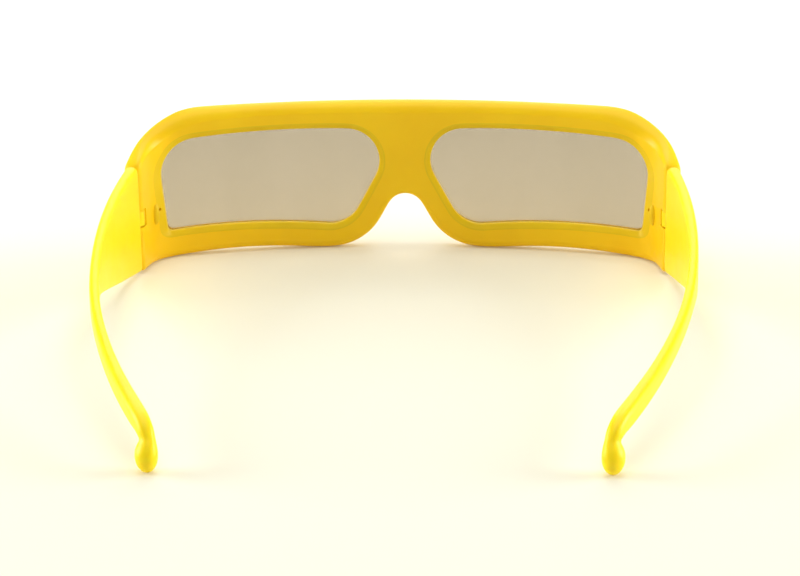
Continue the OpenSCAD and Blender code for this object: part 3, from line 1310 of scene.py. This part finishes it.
@dataclass
class LensPack:
    """The sheets and the retainer of the right lens.

    The ring's bevel pairs distances outside the opening with shares of the ring's slope.
    """

    lens: LensShape
    plan: WrapPlan
    retarder: float = 0.2 * MM
    polariser: float = 0.2 * MM
    carrier: float = 0.35 * MM
    sheet_gap: float = 0.03 * MM
    edge_gap: float = 0.15 * MM
    sheet_rows: tuple[float, ...] = (0, 0.25, 0.5, 0.75, 0.95, 1)
    ring_gap: float = 0.03 * MM
    ring_slope: float = 0.5 * MM
    ring_bevel: tuple[Pair, ...] = ((0, 1.8), (0.08 * MM, 1.25), (0.3 * MM, 1))
    ring_flush: float = 0.03 * MM
    crest: Pair = (-0.25 * MM, 0.1 * MM)
    flange: float = 0.4 * MM
    flange_rise: float = 0.015 * MM
    flange_depth: float = 0.3 * MM
    tab_z: float = 13.4 * MM
    tab_size: Place = (0.95 * MM, 1.1 * MM, 2.8 * MM)
    tab_heading: float = math.radians(28)
    dimple_radius: float = 0.6 * MM
    dimple_rise: float = 0.8 * MM
    dimple_shift: float = 1.9 * MM
    dimple_depth: float = 0.3 * MM

    def build_sheet(self, name: str, radius: float, thickness: float) -> Piece:
        """Models one sheet of the right lens.

        Args:
            name: Name of the piece.
            radius: Plan radius of its front face.
            thickness: Thickness of the sheet.

        Returns:
            The finished piece.
        """
        outline = self.lens.outline(self.lens.ring_width - self.edge_gap)
        centre = sum(outline, Vector((0, 0))) / len(outline)
        rows = [(share, radius) for share in self.sheet_rows]
        rows += [(share, radius - thickness) for share in reversed(self.sheet_rows)]
        loops = []
        for share, face in rows:
            places = [centre.lerp(point, share) for point in outline]
            loops.append(on_surface(places, partial(self.lens.layer_y, radius=face)))
        sheet = LoopModel(name, loops).finish()
        smooth(sheet)
        return sheet

    def build_retainer(self, name: str, radius: float) -> Piece:
        """Models the ring that holds the right lens, with its snap tab.

        Args:
            name: Name of the piece.
            radius: Plan radius of its front face.

        Returns:
            The finished piece.
        """
        row, width, flush = self.lens.row, self.lens.ring_width - self.ring_gap, self.ring_flush
        front, rear = partial(self.lens.layer_y, radius=radius), partial(self.plan.face_y, depth=0)
        behind = [(grow, share * self.ring_slope) for grow, share in self.ring_bevel]
        behind += [
            (width + self.crest[0], 2 * flush),
            (width + self.crest[1], -self.flange_rise),
            (width + self.flange, flush),
            (width + self.flange, self.flange_depth),
            (width, self.flange_depth),
        ]
        loops = [row(0, front)] + [row(grow, rear, depth) for grow, depth in behind]
        ring = LoopModel(name, loops + [row(width, front), row(0, front)]).finish()
        subdivide(ring, 1)
        tab, dimple = self.tab_tools()
        combine(ring, tab, "UNION")
        combine(ring, dimple, "DIFFERENCE")
        weld(ring)
        smooth(ring)
        return ring

    def tab_tools(self) -> tuple[Piece, Piece]:
        """Models the snap tab and the dimple that frees it.

        Returns:
            The tab's solid and the dimple's.
        """
        place = self.plan.corner_centre + polar(self.plan.corner_radius, self.tab_heading)
        tab = egg(Vector(self.tab_size), raised(place, self.tab_z), self.tab_heading)
        place = place + polar(self.dimple_shift, self.tab_heading + math.pi / 2)
        place = place + polar(self.dimple_depth, self.tab_heading)
        size = Vector((1, 1, 1)) * self.dimple_radius
        return tab, egg(size, raised(place, self.tab_z + self.dimple_rise), 0)

    def build(self) -> dict[str, Piece]:
        """Models the right lens pack.

        Returns:
            Its pieces, by the kind of CAD node that each stands for.
        """
        retarder = self.lens.seat_radius - self.sheet_gap
        polariser = retarder - self.retarder - self.sheet_gap
        carrier = polariser - self.polariser - self.sheet_gap
        retainer = carrier - self.carrier - self.sheet_gap
        return {
            "retarder_film": self.build_sheet("right_retarder_sheet", retarder, self.retarder),
            "polariser_film": self.build_sheet("right_polariser_sheet", polariser, self.polariser),
            "carrier_sheet": self.build_sheet("right_carrier_pane", carrier, self.carrier),
            "lens_retainer": self.build_retainer("right_retainer_ring", retainer),
        }


@dataclass
class Temple:
    """The right temple: knuckle, tapered root, slim bar, hook and bulb.

    The tables of the root, the trims and the bulb are in millimetres. Each row of the root's end has a
    distance behind the root's edge, the share of the thickness that is left, and what is taken off at top
    and foot. Trims pair a distance behind the hinge with what is taken off the wall. Each row of the bulb
    has its height, setback, tilt in degrees and radius. The hook's turns are in degrees. Oval shares say how
    far a section is from a box to a plain oval, and the bulb's second one is added at each of its rows.
    """

    plan: WrapPlan
    wall: float = 3 * MM
    root_setback: float = 2.7 * MM
    root_top: float = 29.6 * MM
    root_low: float = 0.8 * MM
    low_sag: float = 1.3 * MM
    top_fall: float = math.radians(8.25)
    bar_height: float = 4.8 * MM
    taper: float = 63 * MM
    armpit_radius: float = 60 * MM
    hook_radius: float = 7 * MM
    hook_inside: float = 0.7 * MM
    hook_end: float = 0.74
    hook_oval: float = 0.5
    bulb_radius: float = 2.5 * MM
    bulb_inside: float = 2.1 * MM
    bulb_oval: Pair = (0.7, 0.15)
    edge_round: float = 1.15 * MM
    round_limit: float = 0.8
    side_points: int = 5
    knuckle_fit: float = 0.05 * MM
    knuckle_round: float = 0.2 * MM
    barrel_radius: float = 2.15 * MM
    web: Pair = (-1.15 * MM, 1.45 * MM)
    web_step: float = 0.3 * MM
    root_end: tuple[Place, ...] = (
        (0, 0, 0.4),
        (0, 0.6, 0.4),
        (0, 0.86, 0.2),
        (0.12, 0.98, 0.03),
        (0.5, 1, 0),
    )
    root_steps: tuple[float, ...] = (6, 10, 15, 21, 28, 35, 42, 48, 54, 60, 66, 72, 80, 90, 100, 110)
    hook_turns: tuple[float, ...] = (81.75, 70, 58, 47)
    outer_trim: tuple[Pair, ...] = ((0, 0), (20, 0), (45, 0.45), (90, 0.45), (112, 0.1), (140, 0.1))
    inner_trim: tuple[Pair, ...] = (
        (0, -0.4),
        (4.5, -0.4),
        (8, 0),
        (22, 0),
        (42, 0.3),
        (75, 0.2),
        (95, -0.3),
        (112, -0.7),
        (140, -0.7),
    )
    bulb_form: tuple[tuple[float, float, float, float], ...] = (
        (7.2, 1.75, 28, 1.65),
        (6.3, 1.25, 14, 2.05),
        (5.2, 0.8, 5, 2.42),
        (3.8, 0.6, 0, 2.55),
        (2.4, 0.6, 0, 2.37),
        (1.2, 0.6, 0, 1.86),
        (0.45, 0.6, 0, 1.2),
        (0.1, 0.6, 0, 0.55),
        (0, 0.6, 0, 0),
    )

    def __post_init__(self) -> None:
        """Works out the side profile's turning points, behind the hinge."""
        self.mid_radius = self.plan.temple_radius - self.wall / 2
        self.tip = self.plan.hinge.y - CAD_LOW.y - self.bulb_radius
        self.bar_drop = self.bar_height / math.cos(self.top_fall)
        hook_back = self.tip - self.hook_radius
        self.hook_start = hook_back + self.hook_radius * math.sin(self.top_fall)
        middle = self.top_edge(self.hook_start) - self.bar_drop / 2
        self.hook_centre = Vector((hook_back, middle - self.hook_radius * math.cos(self.top_fall)))
        pit = Vector((self.taper, self.top_edge(self.taper) - self.bar_drop))
        self.taper_rise = heading(pit - Vector((0, self.root_low)))
        reach = self.armpit_radius * math.tan((self.taper_rise + self.top_fall) / 2)
        turn_start = pit - polar(reach, self.taper_rise)
        self.pit_centre = turn_start + polar(self.armpit_radius, self.taper_rise - math.pi / 2)
        self.pit_span = (turn_start.x, pit.x + reach * math.cos(self.top_fall))

    def top_edge(self, back: float) -> float:
        """Height of the top edge, at a distance behind the hinge."""
        return self.root_top - back * math.tan(self.top_fall)

    def low_edge(self, back: float) -> float:
        """Height of the lower edge, at a distance behind the hinge.

        Args:
            back: Distance behind the hinge.

        Returns:
            Height above the floor. The edge hangs most at a third of the taper.
        """
        share = min(back / self.taper, 1)
        sag = self.low_sag * SAG_SCALE * share * (1 - share) ** 2
        if back <= self.pit_span[0]:
            return self.root_low + back * math.tan(self.taper_rise) - sag
        if back <= self.pit_span[1]:
            rise = math.sqrt(self.armpit_radius**2 - (back - self.pit_centre.x) ** 2)
            return self.pit_centre.y + rise - sag
        return self.top_edge(back) - self.bar_drop

    def section(self, thick: float, tall: float, roundness: float) -> Loop:
        """Outline of a cross-section, as distances across and up from its middle.

        Args:
            thick: Half of its thickness.
            tall: Half of its height.
            roundness: Share of a plain oval in it, from 0 to 1.

        Returns:
            The points, from the top and round the outer side.
        """
        rounding = min(self.edge_round, self.round_limit * thick, self.round_limit * tall)
        kept = rounding * CORNER_CUT
        straight = tall - rounding
        side = [straight * (1 - 2 * (k + 1) / (self.side_points + 1)) for k in range(self.side_points)]
        corner = [(thick - rounding, tall), (thick - kept, tall - kept), (thick, straight)]
        half = corner + [(thick, z) for z in side] + [(a, -z) for a, z in reversed(corner)]
        boxy = [(0, tall)] + half + [(0, -tall)] + [(-a, z) for a, z in reversed(half)]
        found = []
        for step, place in enumerate(boxy):
            turn = 2 * math.pi * step / len(boxy)
            oval = Vector((thick * math.sin(turn), tall * math.cos(turn)))
            found.append(Vector(place).lerp(oval, roundness))
        return found

    def trim(self, table: Sequence[Pair], back: float) -> float:
        """What a table takes off the wall.

        Args:
            table: Trims in order of their distances behind the hinge.
            back: Distance behind the hinge.

        Returns:
            The trim, between those of the two nearest rows.
        """
        for (start, low), (end, high) in zip(table, table[1:]):
            if back <= end * MM:
                return between(low, high, (back / MM - start) / (end - start)) * MM
        return table[-1][1] * MM

    def ring(self, middle: Vector, up: float, outline: Loop, shift: float) -> Loop:
        """Cross-section placed along the temple.

        Args:
            middle: Its middle, as the distance behind the hinge and the height.
            up: Heading of its height in the side profile, in radians.
            outline: Distances across and up from its middle.
            shift: Distance of its middle outside the temple's mid-surface.

        Returns:
            The section's points.
        """
        found = []
        for point in outline:
            back, z = middle + polar(point.y, up)
            plan = self.plan.on_side(self.mid_radius, self.plan.hinge.y - back)
            outwards = (plan - self.plan.side_centre).normalized()
            found.append(raised(plan + outwards * (point.x + shift), z))
        return found

    def upright_ring(self, back: float, squeeze: float = 1, shrink: float = 0, lean: float = 0) -> Loop:
        """Section between the top and the lower edge.

        Args:
            back: Distance behind the hinge.
            squeeze: Share of its thickness that is left.
            shrink: What is taken off at its top and at its foot.
            lean: Lean of its height against the vertical, in radians.

        Returns:
            The section's points.
        """
        top, low = self.top_edge(back), self.low_edge(back)
        outer, inner = self.trim(self.outer_trim, back), self.trim(self.inner_trim, back)
        tall = (top - low) / 2 * math.cos(lean) - shrink
        outline = self.section((self.wall - outer - inner) / 2, tall, 0)
        outline = [Vector((point.x * squeeze, point.y)) for point in outline]
        return self.ring(Vector((back, (top + low) / 2)), math.pi / 2 - lean, outline, (inner - outer) / 2)

    def rows(self) -> list[Loop]:
        """Loops from the root's closed end to the bulb's lowest point.

        Returns:
            The loops in order.
        """
        loops = []
        for back, squeeze, shrink in self.root_end:
            loops.append(self.upright_ring(self.root_setback + back * MM, squeeze, shrink * MM))
        for back in self.root_steps:
            share = max(0, (back * MM - self.taper) / (self.hook_start - self.taper))
            loops.append(self.upright_ring(back * MM, lean=self.top_fall * share))
        return loops + self.hook_rows() + self.bulb_rows()

    def hook_rows(self) -> list[Loop]:
        """Loops round the hook, which narrows towards the bulb.

        Returns:
            The loops in order.
        """
        loops = []
        for turn, share in zip(self.hook_turns, closed_shares(len(self.hook_turns))):
            angle = math.radians(turn)
            middle = self.hook_centre + polar(self.hook_radius, angle)
            tall = between(self.bar_height / 2, self.hook_end * self.bulb_radius, share)
            outline = self.section((self.wall + self.hook_inside) / 2, tall, self.hook_oval * share)
            loops.append(self.ring(middle, angle, outline, -self.hook_inside / 2))
        return loops

    def bulb_rows(self) -> list[Loop]:
        """Loops down the bulb to its lowest point, which rests on the floor.

        Returns:
            The loops in order.
        """
        loops = []
        shift = -self.hook_inside
        oval, oval_step = self.bulb_oval
        for step, (height, setback, tilt, radius) in enumerate(self.bulb_form):
            middle = Vector((self.tip - setback * MM, height * MM))
            outline = self.section(radius * MM, radius * MM, min(oval + oval_step * step, 1))
            shift = max(shift, radius * MM - self.bulb_inside)
            loops.append(self.ring(middle, math.radians(tilt), outline, shift))
        return loops

    def knuckle(self) -> Piece:
        """Models the knuckle: a barrel with the pin's hole, and the web to the root.

        Returns:
            The knuckle as a closed solid.
        """
        plan = self.plan
        low = plan.slot_low + plan.hinge_gap
        high = plan.slot_low + plan.slot_height - plan.hinge_gap
        barrel = upright_rod(self.barrel_radius, low, high, plan.hinge, self.knuckle_round)
        reach = self.root_setback + OVERRUN
        inner, outer = self.web
        middle = plan.hinge + polar((inner + outer) / 2, plan.hinge_heading)
        middle = middle + polar(-reach / 2, plan.hinge_heading + math.pi / 2)
        size = Vector((outer - inner, reach, high - low - 2 * self.web_step))
        centre = raised(middle, (low + high) / 2)
        combine(barrel, turned_block(size, centre, plan.hinge_heading, self.knuckle_round), "UNION")
        bore = upright_rod(plan.pin_radius + self.knuckle_fit, low - OVERRUN, high + OVERRUN, plan.hinge)
        combine(barrel, bore, "DIFFERENCE")
        weld(barrel)
        return barrel

    def build(self) -> Piece:
        """Models the right temple.

        Returns:
            The finished piece.
        """
        piece = LoopModel("right_temple_moulding", self.rows()).finish()
        subdivide(piece, 2)
        combine(piece, self.knuckle(), "UNION")
        weld(piece)
        smooth(piece)
        return piece


@dataclass
class Glasses:
    """The whole object, with each new piece riding on its CAD body."""

    finishes: Finishes
    plan: WrapPlan = field(default_factory=WrapPlan)
    notch: NoseNotch = field(default_factory=NoseNotch)

    def settle(self, piece: Piece, body: str, node: str, slot: str) -> None:
        """Puts a finished piece on its body, in place of its CAD node.

        Args:
            piece: Finished piece.
            body: CAD body that it rides on.
            node: CAD node that it stands for.
            slot: Material slot of the record; not used.
        """
        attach(piece, body)
        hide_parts(node)
        LOG.info("%s: %d faces, rides on %s", piece.name, len(piece.data.polygons), body)

    def build_front(self, lens: LensShape) -> None:
        """Builds and dresses the front frame.

        Args:
            lens: Shape of the lens openings.
        """
        piece = FrontFrame(self.plan, self.notch, lens).build()
        dress(piece, self.finishes.frame)
        self.settle(piece, "front", "front_frame", "frame_plastic")

    def build_lenses(self, lens: LensShape) -> None:
        """Builds and dresses both lens packs.

        Args:
            lens: Shape of the lens openings.
        """
        looks = {
            "retarder_film": (self.finishes.retarder, "retarder_film"),
            "polariser_film": (self.finishes.polariser, "polariser_film"),
            "carrier_sheet": (self.finishes.carrier, "clear_sheet"),
            "lens_retainer": (self.finishes.retainer, "retainer_plastic"),
        }
        for kind, piece in LensPack(lens, self.plan).build().items():
            material, slot = looks[kind]
            dress(piece, material)
            copy = mirrored_copy(piece)
            self.settle(piece, "front", f"{Side.RIGHT.value}_{kind}", slot)
            self.settle(copy, "front", f"{Side.LEFT.value}_{kind}", slot)

    def build_temples(self) -> None:
        """Builds and dresses both temples."""
        piece = Temple(self.plan).build()
        dress(piece, self.finishes.temple)
        copy = mirrored_copy(piece)
        self.settle(piece, "right_temple", "right_temple", "temple_plastic")
        self.settle(copy, "left_temple", "left_temple", "temple_plastic")

    def dress_pins(self) -> None:
        """Gives the CAD hinge pins their steel."""
        for side in Side:
            node = f"{side.value}_hinge_pin"
            dress(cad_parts[node], self.finishes.pin)
            LOG.info("%s: CAD node with drawn steel", node)

    def build(self) -> None:
        """Builds all pieces of the glasses."""
        lens = LensShape(self.notch)
        self.build_front(lens)
        self.build_lenses(lens)
        self.build_temples()
        self.dress_pins()


@dataclass(frozen=True)
class SoftLight:
    """Square studio light."""

    name: str
    place: Place
    size: float
    power: float
    aim: Place = (0, 0, 0.02)

    def add(self) -> None:
        """Adds the light, turned to its aim."""
        bpy.ops.object.light_add(type="AREA", location=self.place)
        light = bpy.context.active_object
        light.name = self.name
        light.data.size = self.size
        light.data.energy = self.power
        ahead = Vector(self.aim) - Vector(self.place)
        light.rotation_euler = ahead.to_track_quat("-Z", "Y").to_euler()


@dataclass
class Studio:
    """Pale floor, soft light, and the camera at the photograph's angle."""

    target: Place = (0, 71.1 * MM, 0)
    target_pixel: Pair = (406.4, 247.6)
    distance: float = 693.4 * MM
    elevation: float = math.radians(19.38)
    azimuth: float = math.radians(2.48)
    roll: float = math.radians(-0.77)
    focal_pixels: float = 2643
    sensor: float = 36
    near_clip: float = 0.01
    floor_size: float = 6
    # The near floor colour holds painted yellow bounce light from the plastic, fading into the far colour.
    floor_near: Colour = (0.85, 0.83, 0.69)
    floor_far: Colour = (0.95, 0.95, 0.94)
    floor_roughness: float = 0.9
    floor_specular: float = 0.1
    tint_centre: Place = (0, -0.2, 0)
    tint_reach: Pair = (0.25, 0.4)
    glow: Pair = (0.12, 0.95)
    glow_reach: Pair = (0.15, 0.6)
    world_light: float = 0.1
    lights: tuple[SoftLight, ...] = (
        SoftLight("low_rear", (0, 0.85, 0.42), 0.8, 3.8),
        SoftLight("high_rear", (0, 0.5, 0.9), 0.7, 2.9),
        SoftLight("overhead", (0, -0.16, 0.9), 0.7, 3.6),
        SoftLight("fill", (0, -0.5, 0.32), 0.4, 0.26),
        SoftLight("left_side", (-0.85, 0.06, 0.24), 0.5, 7.6),
        SoftLight("right_side", (0.85, 0.06, 0.24), 0.5, 7.6),
    )

    def add_camera(self) -> None:
        """Adds the camera so that the target lands on its pixel."""
        level = math.cos(self.elevation)
        back = Vector(
            (math.sin(self.azimuth) * level, -math.cos(self.azimuth) * level, math.sin(self.elevation))
        )
        across = math.atan((self.target_pixel[0] - IMAGE_SIZE[0] / 2) / self.focal_pixels)
        down = self.elevation + math.atan((IMAGE_SIZE[1] / 2 - self.target_pixel[1]) / self.focal_pixels)
        turn = Matrix.Rotation(self.azimuth + across / level, 4, "Z")
        turn = turn @ Matrix.Rotation(math.pi / 2 - down, 4, "X") @ Matrix.Rotation(self.roll, 4, "Z")
        bpy.ops.object.camera_add()
        camera = bpy.context.active_object
        camera.data.sensor_width = self.sensor
        camera.data.lens = self.sensor * self.focal_pixels / IMAGE_SIZE[0]
        camera.data.clip_start = self.near_clip
        camera.matrix_world = Matrix.Translation(Vector(self.target) + back * self.distance) @ turn
        bpy.context.scene.camera = camera

    def add_floor(self) -> None:
        """Adds the floor, which keeps the shadow, looks pale to camera and transmission rays, and carries
        painted yellow bounce light near the glasses.
        """
        floor = primitive(bpy.ops.mesh.primitive_plane_add, size=self.floor_size)
        floor.name = "floor"
        material, board, shader = new_material("pale_floor")
        where = board.where()
        off = board.add("ShaderNodeVectorMath", {"0": where, "1": self.tint_centre}, operation="DISTANCE")
        away = board.add("ShaderNodeVectorMath", {"0": where}, operation="LENGTH")
        # Painted bounce: the floor turns from the cream near colour to the far white with distance from a
        # point in front of the glasses.
        far = board.ramp(off.outputs["Value"], self.tint_reach, target=(0, 1))
        colour = board.tint(far, self.floor_near, self.floor_far)
        matt = {"Roughness": self.floor_roughness, "Specular IOR Level": self.floor_specular}
        board.feed(shader, {"Base Color": colour, **matt})
        path = board.add("ShaderNodeLightPath").outputs
        seen = board.calculate("MAXIMUM", path["Is Camera Ray"], path["Is Transmission Ray"])
        share = board.ramp(away.outputs["Value"], self.glow_reach, self.glow)
        glow = board.add("ShaderNodeEmission", {"Color": colour})
        board.cover(board.calculate("MULTIPLY", seen, share), shader, glow)
        dress(floor, material)

    def add_world(self) -> None:
        """Adds even white light from all round."""
        world = bpy.data.worlds.new("white_studio")
        world.use_nodes = True
        board = Board(world.node_tree)
        board.feed(board.tree.nodes["Background"], {"Color": (1, 1, 1), "Strength": self.world_light})
        bpy.context.scene.world = world

    def build(self) -> None:
        """Sets up floor, lights, world, camera and view."""
        self.add_floor()
        self.add_world()
        clear_selection()
        for light in self.lights:
            light.add()
        self.add_camera()
        bpy.context.scene.view_settings.view_transform = "Standard"


def main() -> None:
    """Builds the glasses and the studio, and logs each piece's faces."""
    logging.basicConfig(level=logging.INFO, format="%(name)s: %(message)s")
    Glasses(Finishes()).build()
    Studio().build()


if __name__ == "__main__":
    main()
